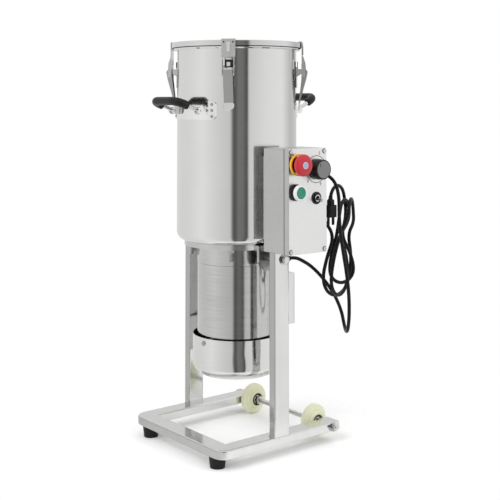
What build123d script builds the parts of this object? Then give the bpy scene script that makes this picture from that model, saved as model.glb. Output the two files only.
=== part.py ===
"""Tilting vertical crusher: a clamped barrel on an upright motor, hung between two tube uprights.

Millimetres, +Z up.  Everything is drawn about the barrel's axis, with the floor at Z = 0, the control
box towards +X and the barrel tipping towards -Y.  save() then moves each piece by -CENTRE_X, so that
the finished part's origin is the middle of its footprint, on the floor.
"""
import os
from math import atan2, cos, degrees, pi, radians, sin, sqrt, tan

from build123d import *

# ---------------------------------------------------------------- driving dimensions
FIT = 0.05                   # radial clearance of a running fit
GAP = 0.4                    # clearance between moving pieces that do not bear on each other

TUBE_W, TUBE_H, TUBE_WALL, TUBE_R = 38.0, 18.0, 1.5, 3.0
BASE_X = 152.5               # half width over the side tubes
BASE_FRONT, BASE_BACK = -155.5, 148.0
BASE_CORNER = 26.0
FOOT_H, FOOT_TOP_R, FOOT_BOTTOM_R = 22.0, 17.0, 14.3
FOOT_X, FOOT_Y = 115.0, -136.0
BASE_TOP = FOOT_H + TUBE_H

UPRIGHT_Y = -5.8             # centre of both uprights
LEFT_UPRIGHT_TOP, RIGHT_UPRIGHT_TOP = 399.0, 585.0
UPRIGHT_IN = BASE_X - TUBE_H

WHEEL_R, WHEEL_W, AXLE_R = 32.0, 22.0, 5.0
AXLE_Y, AXLE_Z = 130.0, 32.0
LEFT_WHEEL_X, RIGHT_WHEEL_X = -101.5, 97.0
ACORN_R, ACORN_AF, ACORN_HEX = 7.0, 15.0, 6.0
WASHER_T = 1.5

PIVOT_Z, PIVOT_R = 382.5, 6.0
EAR_X, EAR_T, EAR_HALF_Y, EAR_BOTTOM = 113.0, 5.0, 37.0, 358.0
LOCK_Y, LOCK_Z, LOCK_R = -2.0, 364.5, 3.0

BARREL_R, BARREL_WALL = 125.0, 2.0
BARREL_BOTTOM, BARREL_TOP, BARREL_CORNER = 408.5, 805.0, 18.0
RIM_R, LID_R, LID_BOTTOM, LID_TOP = 134.0, 136.7, 805.6, 816.5
CRADLE_R, CRADLE_BOTTOM = 109.0, 398.5
SEAL_R = 30.0

MOTOR_R, MOTOR_WALL, MOTOR_BOTTOM, MOTOR_SEAM = 81.8, 3.5, 165.0, 363.0
CUP_R, CUP_WALL, CUP_BOTTOM, CUP_TOP, CUP_CORNER = 91.1, 1.5, 136.0, 216.0, 22.0
SHAFT_R = 12.0

BOX_Y0, BOX_Y1, BOX_Z0, BOX_Z1 = -52.0, 46.0, 403.0, 604.0
BOX_X1, PANEL_X0, PANEL_X = 212.0, 213.0, 226.0
SHEET = 1.5
ESTOP_Y, ESTOP_Z, ESTOP_R, ESTOP_FRONT = -36.0, 574.0, 20.0, 257.0
KNOB_Y, KNOB_Z, KNOB_R, KNOB_FRONT = 19.0, 563.5, 18.0, 248.0
BUTTON_Y, BUTTON_Z, BUTTON_R, HOUSING_R, HOUSING_H = -35.5, 521.3, 11.0, 14.7, 17.5
TOGGLE_Y, TOGGLE_Z, TOGGLE_TILT = 18.5, 508.0, 12.0

LATCH_ANGLES = {"front_right": -45, "rear_right": 45, "rear_left": 135, "front_left": -135}
LATCH_PIN_R = 2.0
LATCH_A = (141.5, 757.0)     # radius and height of the lever's pivot on its bracket
LATCH_B = (141.5, 747.5)     # radius and height of the hook's pivot on the lever

BAIL_X, BAIL_Y, BAIL_Z = 44.0, 129.5, 676.0
BAIL_R, BAIL_CORNER = 4.0, 20.0
FRONT_REACH, FRONT_RISE = 56.0, 20.0
REAR_REACH, REAR_RISE = 60.0, 28.0
GRIP_R, GRIP_DEPTH = 8.5, 25.0
HANDLE_PLATE_Z0, HANDLE_PLATE_H, HANDLE_PLATE_HALF = 658.0, 37.0, 69.0

CORD_R = 3.5
LEAD_ROUTE = [(176, 54, 548), (176, 74, 548), (185, 90, 538), (203, 91, 518), (224, 79, 474), (234, 81, 410),
              (238, 90, 336), (238, 94, 256), (202, 117, 234), (170, 138, 262), (168, 120, 308), (162, 90, 346),
              (152, 62, 371), (146, 40, 383), (146, 18, 383)]
SUPPLY_ROUTE = [(160, 54, 472), (160, 74, 472), (164, 93, 463), (172, 106, 447), (183, 109, 428)]
HANK_X, HANK_Y, HANK_T, HANK_LEAN = 187.0, 113.0, 24.0, 17.0
PLUG_X, PLUG_Y, PLUG_Z = 184.0, 96.0, 462.0

ACORN_TIP = BASE_X + WASHER_T + ACORN_HEX + ACORN_R
CENTRE_X = (ESTOP_FRONT - ACORN_TIP) / 2


# ---------------------------------------------------------------- helpers
def save(piece, name):
    """Label a finished piece, move it to the part's own origin and write it."""
    moved = piece.part.moved(Location((-CENTRE_X, 0, 0)))
    moved.label = name
    export_step(moved, "parts/" + name + ".step")


def across(x, y, z):
    """A sketch plane that faces +X, with its own x along +Y and its own y along +Z."""
    return Plane(origin=(x, y, z), x_dir=(0, 1, 0), z_dir=(1, 0, 0))


def radial(angle):
    """A sketch plane through the barrel's axis: its own x is the radius and its own y is the height."""
    a = radians(angle)
    return Plane(origin=(0, 0, 0), x_dir=(cos(a), sin(a), 0), z_dir=(sin(a), -cos(a), 0))


def turned(points):
    """Revolve a closed outline of (radius, height) points about the barrel's axis."""
    with BuildSketch(Plane.XZ) as outline:
        with BuildLine():
            Polyline(*points, close=True)
        make_face()
    revolve(outline.sketch, axis=Axis.Z)


def ring(outer, inner, z0, z1):
    """A plain ring about the barrel's axis."""
    turned([(inner, z0), (outer, z0), (outer, z1), (inner, z1)])


def disc(x0, x1, y, z, r, mode=Mode.ADD):
    """A round bar along X."""
    with BuildSketch(across(x0, y, z)) as outline:
        Circle(r)
    extrude(outline.sketch, amount=x1 - x0, mode=mode)


def hexagon(x0, x1, y, z, across_flats):
    """A hexagonal bar along X."""
    with BuildSketch(across(x0, y, z)) as outline:
        RegularPolygon(across_flats / 2, 6, major_radius=False)
    extrude(outline.sketch, amount=x1 - x0)


def block(x, y, z, mode=Mode.ADD):
    """A box given by its (low, high) along each axis."""
    with BuildSketch(Plane.XY.offset(z[0])) as outline:
        with Locations(((x[0] + x[1]) / 2, (y[0] + y[1]) / 2)):
            Rectangle(x[1] - x[0], y[1] - y[0])
    extrude(outline.sketch, amount=z[1] - z[0], mode=mode)


def cord_radii(points):
    """One bend radius for each corner of a cord's route, as large as its two runs allow."""
    radii = []
    for before, corner, after in zip(points, points[1:], points[2:]):
        run_in = Vector(*corner) - Vector(*before)
        run_out = Vector(*after) - Vector(*corner)
        turn = radians(run_in.get_angle(run_out))
        radii.append(0.45 * min(run_in.length, run_out.length) / tan(turn / 2))
    return radii


def cord_tube(points, name):
    """A cord's solid along straight runs joined by tangent arcs, checked against section times length."""
    radii = cord_radii(points)
    with BuildPart() as cord:
        with BuildLine() as path:
            FilletPolyline(*points, radius=radii)
        with BuildSketch(Plane(origin=path.line @ 0, z_dir=path.line % 0)):
            Circle(CORD_R)
        sweep()
    length = sum(edge.length for edge in path.edges())
    volume = pi * CORD_R ** 2 * length
    print(name, "length", round(length), "smallest radius", round(min(radii), 1),
          "volume ratio", round(cord.part.volume / volume, 4))
    save(cord, name)


# ---------------------------------------------------------------- stand
def make_base_frame():
    inside = BASE_X - TUBE_W
    beyond = BASE_BACK + BASE_CORNER
    with BuildPart() as base_frame:
        with BuildSketch(Plane.XY.offset(FOOT_H)) as outline:
            with Locations((0, (BASE_FRONT + BASE_BACK) / 2)):
                Rectangle(2 * BASE_X, BASE_BACK - BASE_FRONT)
            fillet(outline.vertices().group_by(Axis.Y)[0], BASE_CORNER)
            with Locations((0, (BASE_FRONT + TUBE_W + BASE_BACK) / 2)):
                Rectangle(2 * inside, BASE_BACK - BASE_FRONT - TUBE_W, mode=Mode.SUBTRACT)
        extrude(amount=TUBE_H)
        long_edges = base_frame.edges().group_by(Axis.Z)[0] + base_frame.edges().group_by(Axis.Z)[-1]
        fillet(long_edges.filter_by(lambda e: e.center().Y < BASE_BACK - 1), TUBE_R)
        with BuildSketch(Plane.XY.offset(FOOT_H + TUBE_WALL)):
            with Locations((0, (BASE_FRONT + TUBE_WALL + beyond) / 2)):
                RectangleRounded(2 * (BASE_X - TUBE_WALL), beyond - BASE_FRONT - TUBE_WALL,
                                 BASE_CORNER - TUBE_WALL)
            with Locations((0, (BASE_FRONT + TUBE_W - TUBE_WALL + beyond + 2) / 2)):
                Rectangle(2 * (inside + TUBE_WALL), beyond + 2 - BASE_FRONT - TUBE_W + TUBE_WALL,
                          mode=Mode.SUBTRACT)
        extrude(amount=TUBE_H - 2 * TUBE_WALL, mode=Mode.SUBTRACT)
        disc(-BASE_X - 1, BASE_X + 1, AXLE_Y, AXLE_Z, AXLE_R, mode=Mode.SUBTRACT)
    save(base_frame, "base_frame")


def make_upright(side, top, name):
    middle = side * (BASE_X - TUBE_H / 2)
    with BuildPart() as upright:
        with BuildSketch(Plane.XY.offset(BASE_TOP)):
            with Locations((middle, UPRIGHT_Y)):
                RectangleRounded(TUBE_H, TUBE_W, TUBE_R)
                RectangleRounded(TUBE_H - 2 * TUBE_WALL, TUBE_W - 2 * TUBE_WALL, TUBE_R - TUBE_WALL,
                                 mode=Mode.SUBTRACT)
        extrude(amount=top - BASE_TOP)
        disc(middle - TUBE_H, middle + TUBE_H, 0, PIVOT_Z, PIVOT_R, mode=Mode.SUBTRACT)
        if side > 0:
            with BuildSketch(Plane.XZ.offset(-UPRIGHT_Y - TUBE_W)):
                with Locations((LEAD_ROUTE[-1][0], LEAD_ROUTE[-1][2])):
                    Circle(5)
            extrude(amount=TUBE_W, mode=Mode.SUBTRACT)
    save(upright, name)


def make_tube_plugs():
    """Plugs that close the base tubes' rear ends and the uprights' tops."""
    with BuildPart() as tube_plugs:
        for side in (-1, 1):
            x = side * (BASE_X - TUBE_W / 2)
            half = TUBE_W / 2 - TUBE_WALL
            block((x - half, x + half), (BASE_BACK - 8, BASE_BACK), (FOOT_H + TUBE_WALL, BASE_TOP - TUBE_WALL))
            top = LEFT_UPRIGHT_TOP if side < 0 else RIGHT_UPRIGHT_TOP
            x = side * (BASE_X - TUBE_H / 2)
            with BuildSketch(Plane.XY.offset(top)):
                with Locations((x, UPRIGHT_Y)):
                    RectangleRounded(TUBE_H, TUBE_W, TUBE_R)
            extrude(amount=2)
    save(tube_plugs, "tube_plugs")


def make_feet():
    with BuildPart() as rubber_feet:
        with BuildSketch(Plane.XY):
            with Locations((-FOOT_X, FOOT_Y), (FOOT_X, FOOT_Y)):
                Circle(FOOT_BOTTOM_R)
        extrude(amount=FOOT_H, taper=-degrees(atan2(FOOT_TOP_R - FOOT_BOTTOM_R, FOOT_H)))
        with Locations((-FOOT_X, FOOT_Y, 0), (FOOT_X, FOOT_Y, 0)):
            Cylinder(6, 16, align=(Align.CENTER, Align.CENTER, Align.MIN), mode=Mode.SUBTRACT)
    save(rubber_feet, "rubber_feet")


def make_wheel(x, name):
    """Nylon wheel: wide tread on its -X side, stepped and coned on its +X side, a recess round each bore."""
    half = WHEEL_W / 2
    outline = [(-half, AXLE_R + FIT), (-half, 9), (-half + 2, 9), (-half + 2, 13.5), (-half, 13.5), (-half, 18),
               (-half + 2, 20), (-half + 2, WHEEL_R - 1.5), (-half + 3.5, WHEEL_R), (0, WHEEL_R),
               (1.5, WHEEL_R - 1.5), (4, 25), (5.5, 24), (6.5, 19), (half - 1, 18), (half, 17), (half, 13.5),
               (half - 2, 13.5), (half - 2, 9), (half, 9), (half, AXLE_R + FIT)]
    with BuildPart() as wheel:
        with BuildSketch(Plane(origin=(x, AXLE_Y, AXLE_Z), x_dir=(1, 0, 0), z_dir=(0, -1, 0))):
            with BuildLine():
                Polyline(*outline, close=True)
            make_face()
        revolve(axis=Axis((x, AXLE_Y, AXLE_Z), (1, 0, 0)))
    save(wheel, name)


def make_axle():
    with BuildPart() as wheel_axle:
        disc(-ACORN_TIP + ACORN_R, ACORN_TIP - ACORN_R, AXLE_Y, AXLE_Z, AXLE_R)
        chamfer(wheel_axle.edges().filter_by(GeomType.CIRCLE), 0.8)
    save(wheel_axle, "wheel_axle")


def make_axle_nuts():
    """Acorn nuts and washers outside the tubes, and plain nuts that keep the wheels in place."""
    with BuildPart() as axle_nuts:
        for side in (-1, 1):
            face = BASE_X + WASHER_T
            span = sorted((side * BASE_X, side * face))
            disc(span[0], span[1], AXLE_Y, AXLE_Z, 9.5)
            span = sorted((side * face, side * (face + ACORN_HEX)))
            hexagon(span[0], span[1], AXLE_Y, AXLE_Z, ACORN_AF)
            with BuildSketch(Plane(origin=(side * (face + ACORN_HEX), AXLE_Y, AXLE_Z), x_dir=(side, 0, 0),
                                   z_dir=(0, -side, 0))):
                with BuildLine():
                    CenterArc((0, 0), ACORN_R, 0, 90)
                    Line((0, ACORN_R), (0, 0))
                    Line((0, 0), (ACORN_R, 0))
                make_face()
            revolve(axis=Axis((0, AXLE_Y, AXLE_Z), (1, 0, 0)))
        half = WHEEL_W / 2 + GAP
        for x0, x1 in ((LEFT_WHEEL_X + half, LEFT_WHEEL_X + half + 5), (RIGHT_WHEEL_X - half - 5, RIGHT_WHEEL_X - half),
                       (RIGHT_WHEEL_X + half, RIGHT_WHEEL_X + half + 5)):
            hexagon(x0, x1, AXLE_Y, AXLE_Z, 16)
        disc(-BASE_X + TUBE_W, LEFT_WHEEL_X - half, AXLE_Y, AXLE_Z, 8)
        disc(-ACORN_TIP + ACORN_R, ACORN_TIP - ACORN_R, AXLE_Y, AXLE_Z, AXLE_R, mode=Mode.SUBTRACT)
    save(axle_nuts, "axle_nuts")


def make_pivot_bolts():
    """Two bolts along X, each with a domed head outside its upright."""
    with BuildPart() as pivot_bolts:
        for side in (-1, 1):
            head = BASE_X + WASHER_T
            span = sorted((side * (EAR_X - 10), side * head))
            disc(span[0], span[1], 0, PIVOT_Z, PIVOT_R)
            span = sorted((side * head, side * (head + 7)))
            disc(span[0], span[1], 0, PIVOT_Z, 9)
        rounds = pivot_bolts.edges().filter_by(GeomType.CIRCLE).group_by(Axis.X)
        fillet(rounds[0] + rounds[-1], 4)
    save(pivot_bolts, "pivot_bolts")


def make_pivot_spacers():
    """Washers, spacer sleeves and nuts on the pivot bolts."""
    with BuildPart() as pivot_spacers:
        for side in (-1, 1):
            for low, high, r in ((BASE_X, BASE_X + WASHER_T, 11.5), (EAR_X + EAR_T + GAP, UPRIGHT_IN, 9.5)):
                span = sorted((side * low, side * high))
                disc(span[0], span[1], 0, PIVOT_Z, r)
            span = sorted((side * (EAR_X - GAP - 8), side * (EAR_X - GAP)))
            hexagon(span[0], span[1], 0, PIVOT_Z, 19)
        disc(-BASE_X - 9, BASE_X + 9, 0, PIVOT_Z, PIVOT_R, mode=Mode.SUBTRACT)
    save(pivot_spacers, "pivot_spacers")


# ---------------------------------------------------------------- control box
def make_control_box():
    """Folded steel box, open towards the panel, with four corner posts for the panel's screws."""
    with BuildPart() as control_box:
        block((BASE_X, BOX_X1), (BOX_Y0, BOX_Y1), (BOX_Z0, BOX_Z1))
        fillet(control_box.edges().filter_by(Axis.X), 2)
        block((BASE_X + SHEET, BOX_X1), (BOX_Y0 + SHEET, BOX_Y1 - SHEET), (BOX_Z0 + SHEET, BOX_Z1 - SHEET),
              mode=Mode.SUBTRACT)
        for y, z in screw_places():
            block((BASE_X + SHEET, BOX_X1), (y - 4, y + 4), (z - 4, z + 4))
        for x, z in GLAND_PLACES:
            with BuildSketch(Plane.XZ.offset(-BOX_Y1 - 1)):
                with Locations((x, z)):
                    Circle(6.5)
            extrude(amount=SHEET + 2, mode=Mode.SUBTRACT)
    save(control_box, "control_box")


def screw_places():
    """The panel's four screws, as (y, z)."""
    inset = 6
    return [(y, z) for y in (BOX_Y0 + inset, BOX_Y1 - inset) for z in (BOX_Z0 + inset, BOX_Z1 - inset)]


def make_control_panel():
    with BuildPart() as control_panel:
        block((PANEL_X0, PANEL_X), (BOX_Y0, BOX_Y1), (BOX_Z0, BOX_Z1))
        fillet(control_panel.edges().filter_by(Axis.X), 2)
        fillet(control_panel.faces().sort_by(Axis.X)[-1].edges(), 1.2)
        block((PANEL_X0, PANEL_X - SHEET), (BOX_Y0 + SHEET, BOX_Y1 - SHEET), (BOX_Z0 + SHEET, BOX_Z1 - SHEET),
              mode=Mode.SUBTRACT)
        for y, z, r in ((ESTOP_Y, ESTOP_Z, 11), (KNOB_Y, KNOB_Z, 3.5), (BUTTON_Y, BUTTON_Z, 11.4),
                        (TOGGLE_Y, TOGGLE_Z, 6)):
            disc(PANEL_X0, PANEL_X + 1, y, z, r, mode=Mode.SUBTRACT)
        for y, z in screw_places():
            disc(PANEL_X0, PANEL_X + 1, y, z, 2, mode=Mode.SUBTRACT)
    save(control_panel, "control_panel")


def make_panel_screws():
    with BuildPart() as panel_screws:
        for y, z in screw_places():
            disc(BOX_X1, PANEL_X, y, z, 2)
            disc(PANEL_X, PANEL_X + 2, y, z, 4)
        with BuildSketch(across(PANEL_X + 1, 0, 0)):
            with Locations(*screw_places()):
                Rectangle(6, 1)
                Rectangle(1, 6)
        extrude(amount=2, mode=Mode.SUBTRACT)
    save(panel_screws, "panel_screws")


def make_controller():
    """Speed control board with its heat sink, capacitor and terminal block, screwed to the box's back."""
    with BuildPart() as speed_controller:
        back = BASE_X + SHEET
        block((back, back + 4), (-35, 30), (430, 540))
        for y in range(-30, 0, 6):
            block((back + 4, back + 22), (y, y + 2), (480, 535))
        block((back + 4, back + 16), (-30, 25), (440, 456))
        with BuildSketch(across(back + 4, 16, 505)):
            Circle(11)
        extrude(amount=26)
    save(speed_controller, "speed_controller")


def make_estop_body():
    """Collar on the panel's face and contact block behind it."""
    with BuildPart() as estop_body:
        disc(PANEL_X, PANEL_X + 8, ESTOP_Y, ESTOP_Z, 15)
        disc(PANEL_X - SHEET, PANEL_X, ESTOP_Y, ESTOP_Z, 11)
        block((PANEL_X - 40, PANEL_X - SHEET), (ESTOP_Y - 13, ESTOP_Y + 13), (ESTOP_Z - 14, ESTOP_Z + 14))
        disc(PANEL_X - 12, PANEL_X + 9, ESTOP_Y, ESTOP_Z, 8 + FIT, mode=Mode.SUBTRACT)
    save(estop_body, "estop_body")


def make_estop_moving():
    with BuildPart() as estop_stem:
        disc(PANEL_X - 5, PANEL_X + 16, ESTOP_Y, ESTOP_Z, 8)
    save(estop_stem, "estop_stem")
    start = PANEL_X + 13
    reach = ESTOP_FRONT - start
    outline = [(0, 8 + FIT), (0, ESTOP_R - 4), (3, ESTOP_R), (reach, ESTOP_R), (reach, 0), (3 + FIT, 0),
               (3 + FIT, 8 + FIT)]
    with BuildPart() as estop_cap:
        with BuildSketch(Plane(origin=(start, ESTOP_Y, ESTOP_Z), x_dir=(1, 0, 0), z_dir=(0, -1, 0))):
            with BuildLine():
                Polyline(*outline, close=True)
            make_face()
        revolve(axis=Axis((0, ESTOP_Y, ESTOP_Z), (1, 0, 0)))
        fillet(estop_cap.edges().filter_by(GeomType.CIRCLE).group_by(Axis.X)[-1], 7)
    save(estop_cap, "estop_cap")


def make_button():
    with BuildPart() as button_housing:
        disc(PANEL_X, PANEL_X + HOUSING_H, BUTTON_Y, BUTTON_Z, HOUSING_R)
        chamfer(button_housing.faces().sort_by(Axis.X)[-1].edges(), 1)
        disc(PANEL_X - 4, PANEL_X, BUTTON_Y, BUTTON_Z, 11.4)
        block((PANEL_X - 36, PANEL_X - 4), (BUTTON_Y - 13, BUTTON_Y + 13), (BUTTON_Z - 14, BUTTON_Z + 14))
        disc(PANEL_X - 4, PANEL_X + HOUSING_H + 1, BUTTON_Y, BUTTON_Z, BUTTON_R + FIT, mode=Mode.SUBTRACT)
    save(button_housing, "button_housing")
    with BuildPart() as green_button:
        disc(PANEL_X + 6, PANEL_X + HOUSING_H + 2, BUTTON_Y, BUTTON_Z, BUTTON_R)
        fillet(green_button.faces().sort_by(Axis.X)[-1].edges(), 1.2)
    save(green_button, "green_button")


def make_knob():
    with BuildPart() as potentiometer:
        disc(PANEL_X - 20, PANEL_X - SHEET, KNOB_Y, KNOB_Z, 10)
        disc(PANEL_X - SHEET, PANEL_X + 1.5, KNOB_Y, KNOB_Z, 3.5)
        disc(PANEL_X - 21, PANEL_X + 2, KNOB_Y, KNOB_Z, 2 + FIT, mode=Mode.SUBTRACT)
    save(potentiometer, "potentiometer")
    with BuildPart() as speed_knob:
        disc(PANEL_X + 2.2, PANEL_X + 6, KNOB_Y, KNOB_Z, KNOB_R)
        disc(PANEL_X + 6, KNOB_FRONT, KNOB_Y, KNOB_Z, KNOB_R - 1.5)
        chamfer(speed_knob.faces().sort_by(Axis.X)[-1].edges(), 1)
        with BuildSketch(across(PANEL_X + 6, KNOB_Y, KNOB_Z)):
            with PolarLocations(KNOB_R - 1.2, 24):
                Circle(0.8)
        extrude(amount=KNOB_FRONT - PANEL_X - 8, mode=Mode.SUBTRACT)
        disc(PANEL_X - 19, PANEL_X + 2.2, KNOB_Y, KNOB_Z, 2)
    save(speed_knob, "speed_knob")


def make_toggle():
    with BuildPart() as toggle_body:
        disc(PANEL_X, PANEL_X + 1.5, TOGGLE_Y, TOGGLE_Z, 12)
        hexagon(PANEL_X + 1.5, PANEL_X + 4, TOGGLE_Y, TOGGLE_Z, 14)
        disc(PANEL_X - SHEET, PANEL_X, TOGGLE_Y, TOGGLE_Z, 6)
        block((PANEL_X - 26, PANEL_X - SHEET), (TOGGLE_Y - 8, TOGGLE_Y + 8), (TOGGLE_Z - 12, TOGGLE_Z + 12))
        disc(PANEL_X - 8, PANEL_X + 5, TOGGLE_Y, TOGGLE_Z, 5, mode=Mode.SUBTRACT)
    save(toggle_body, "toggle_body")
    tilt = radians(TOGGLE_TILT)
    ball = Plane(origin=(PANEL_X - 3, TOGGLE_Y, TOGGLE_Z), x_dir=(0, 1, 0), z_dir=(cos(tilt), 0, -sin(tilt)))
    with BuildPart() as toggle_lever:
        with Locations(ball.location):
            Cone(2, 3.2, 20, align=(Align.CENTER, Align.CENTER, Align.MIN))
            Sphere(3.5)
        fillet(toggle_lever.edges().filter_by(GeomType.CIRCLE).sort_by(Axis.X)[-1], 1.5)
    save(toggle_lever, "toggle_lever")


GLAND_PLACES = [(LEAD_ROUTE[0][0], LEAD_ROUTE[0][2]), (SUPPLY_ROUTE[0][0], SUPPLY_ROUTE[0][2])]


def make_glands():
    """Two cable glands on the box's rear face, and the grommet in the upright's rear face."""
    with BuildPart() as cable_glands:
        for x, z in GLAND_PLACES:
            with BuildSketch(Plane.XZ.offset(-BOX_Y1 + SHEET)):
                with Locations((x, z)):
                    Circle(6.5)
            extrude(amount=-SHEET)
            with BuildSketch(Plane.XZ.offset(-BOX_Y1)):
                with Locations((x, z)):
                    RegularPolygon(9, 6, major_radius=False)
            extrude(amount=-4)
            with BuildSketch(Plane.XZ.offset(-BOX_Y1 - 4)):
                with Locations((x, z)):
                    Circle(8)
            extrude(amount=-4, taper=12)
        end = LEAD_ROUTE[-1]
        with BuildSketch(Plane.XZ.offset(-end[1] + 6.5)):
            with Locations((end[0], end[2])):
                Circle(5)
        extrude(amount=-1.7)
        with BuildSketch(Plane.XZ.offset(-end[1] + 4.8)):
            with Locations((end[0], end[2])):
                Circle(7)
        extrude(amount=-4.8, taper=10)
    save(cable_glands, "cable_glands")


def hank_outline():
    """The tied hank's outer shape as (y, z) points: two upper loops, a waist and a long lower loop."""
    return [(92, 424), (74, 385), (66, 350), (70, 320), (88, 302), (120, 298), (150, 307), (163, 335), (161, 370),
            (150, 424), (166, 452), (188, 478), (187, 492), (178, 499), (158, 498), (152, 512), (138, 524),
            (112, 527), (96, 518), (92.5, 498), (99.5, 498), (102, 510), (114, 517), (130, 514), (141, 496),
            (130, 465), (110, 446)]


def make_cords():
    cord_tube(LEAD_ROUTE, "motor_lead")
    cord_tube(SUPPLY_ROUTE, "supply_lead")
    lean = radians(HANK_LEAN)
    face = Plane(origin=(HANK_X, HANK_Y, 0), x_dir=(-sin(lean), cos(lean), 0), z_dir=(cos(lean), sin(lean), 0))
    with BuildPart() as supply_hank:
        with BuildSketch(face.offset(-HANK_T / 2)):
            with BuildLine():
                Polyline(*[((y - HANK_Y) / cos(lean), z) for y, z in hank_outline()], close=True)
            make_face()
        extrude(amount=HANK_T)
    save(supply_hank, "supply_hank")
    with BuildPart() as plug:
        with BuildSketch(Plane.XY.offset(PLUG_Z)):
            with Locations((PLUG_X, PLUG_Y)):
                RectangleRounded(17, 24, 6)
        extrude(amount=24)
        with BuildSketch(Plane.XY.offset(PLUG_Z + 24)):
            with Locations((PLUG_X, PLUG_Y)):
                RectangleRounded(13, 14, 5)
        extrude(amount=11.6)
        chamfer(plug.faces().sort_by(Axis.Z)[-1].edges(), 2)
        with BuildSketch(Plane.XY.offset(PLUG_Z)):
            with Locations((PLUG_X, PLUG_Y - 6.5), (PLUG_X, PLUG_Y + 6.5)):
                Rectangle(2, 6)
        extrude(amount=-16)
    save(plug, "plug")


# ---------------------------------------------------------------- barrel and cradle
def make_cradle():
    """Round plate under the barrel with two ears that hang down to the pivots."""
    with BuildPart() as cradle:
        with BuildSketch(Plane.XY.offset(CRADLE_BOTTOM)):
            Circle(CRADLE_R)
            Rectangle(2 * (EAR_X + EAR_T), 2 * EAR_HALF_Y)
            Circle(SEAL_R, mode=Mode.SUBTRACT)
            with PolarLocations(95, 4, start_angle=45):
                Circle(4, mode=Mode.SUBTRACT)
        extrude(amount=BARREL_BOTTOM - CRADLE_BOTTOM)
        for side in (-1, 1):
            start = side * EAR_X if side > 0 else side * (EAR_X + EAR_T)
            with BuildSketch(across(start, 0, 0)) as ear:
                with BuildLine():
                    Polyline((-EAR_HALF_Y, CRADLE_BOTTOM), (-EAR_HALF_Y, 376), (-20, EAR_BOTTOM), (20, EAR_BOTTOM),
                             (EAR_HALF_Y, 376), (EAR_HALF_Y, CRADLE_BOTTOM), close=True)
                make_face()
                fillet(ear.vertices().group_by(Axis.Y)[0], 8)
            extrude(amount=EAR_T)
        disc(-EAR_X - 9, EAR_X + 9, 0, PIVOT_Z, PIVOT_R + FIT, mode=Mode.SUBTRACT)
        disc(-EAR_X - 9, 0, LOCK_Y, LOCK_Z, LOCK_R + FIT, mode=Mode.SUBTRACT)
    save(cradle, "cradle")


def make_barrel():
    inner, floor = BARREL_R - BARREL_WALL, BARREL_BOTTOM + 3
    corner_in = BARREL_CORNER - BARREL_WALL
    rim_low = BARREL_TOP - 5
    with BuildPart() as barrel:
        with BuildSketch(Plane.XZ):
            with BuildLine():
                Line((SEAL_R, BARREL_BOTTOM), (BARREL_R - BARREL_CORNER, BARREL_BOTTOM))
                RadiusArc((BARREL_R - BARREL_CORNER, BARREL_BOTTOM), (BARREL_R, BARREL_BOTTOM + BARREL_CORNER),
                          -BARREL_CORNER)
                Polyline((BARREL_R, BARREL_BOTTOM + BARREL_CORNER), (BARREL_R, rim_low), (RIM_R - 2, rim_low),
                         (RIM_R, rim_low + 2), (RIM_R, BARREL_TOP - 1), (RIM_R - 1, BARREL_TOP), (inner, BARREL_TOP),
                         (inner, floor + corner_in))
                RadiusArc((inner, floor + corner_in), (inner - corner_in, floor), corner_in)
                Polyline((inner - corner_in, floor), (SEAL_R, floor), (SEAL_R, BARREL_BOTTOM))
            make_face()
        revolve(axis=Axis.Z)
    save(barrel, "barrel")


def make_lid():
    band = 1.6
    with BuildPart() as lid:
        turned([(0, LID_TOP - 7), (112, LID_TOP - 7), (119, LID_TOP - 2), (LID_R - band, LID_TOP - 2),
                (LID_R - band, LID_BOTTOM), (LID_R, LID_BOTTOM), (LID_R, LID_TOP - 1.2), (LID_R - 1.2, LID_TOP),
                (118, LID_TOP), (111, LID_TOP - 5), (0, LID_TOP - 5)])
    save(lid, "lid")
    with BuildPart() as lid_gasket:
        ring(LID_R - band - 1, BARREL_R - BARREL_WALL, BARREL_TOP, LID_TOP - 2)
    save(lid_gasket, "lid_gasket")


def make_seal_housing():
    with BuildPart() as seal_housing:
        turned([(SHAFT_R + FIT, CRADLE_BOTTOM), (SEAL_R, CRADLE_BOTTOM), (SEAL_R, BARREL_BOTTOM + 3),
                (SEAL_R + 10, BARREL_BOTTOM + 3), (SEAL_R + 8, BARREL_BOTTOM + 6), (18, BARREL_BOTTOM + 9),
                (SHAFT_R + FIT, BARREL_BOTTOM + 9)])
    save(seal_housing, "seal_housing")


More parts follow.
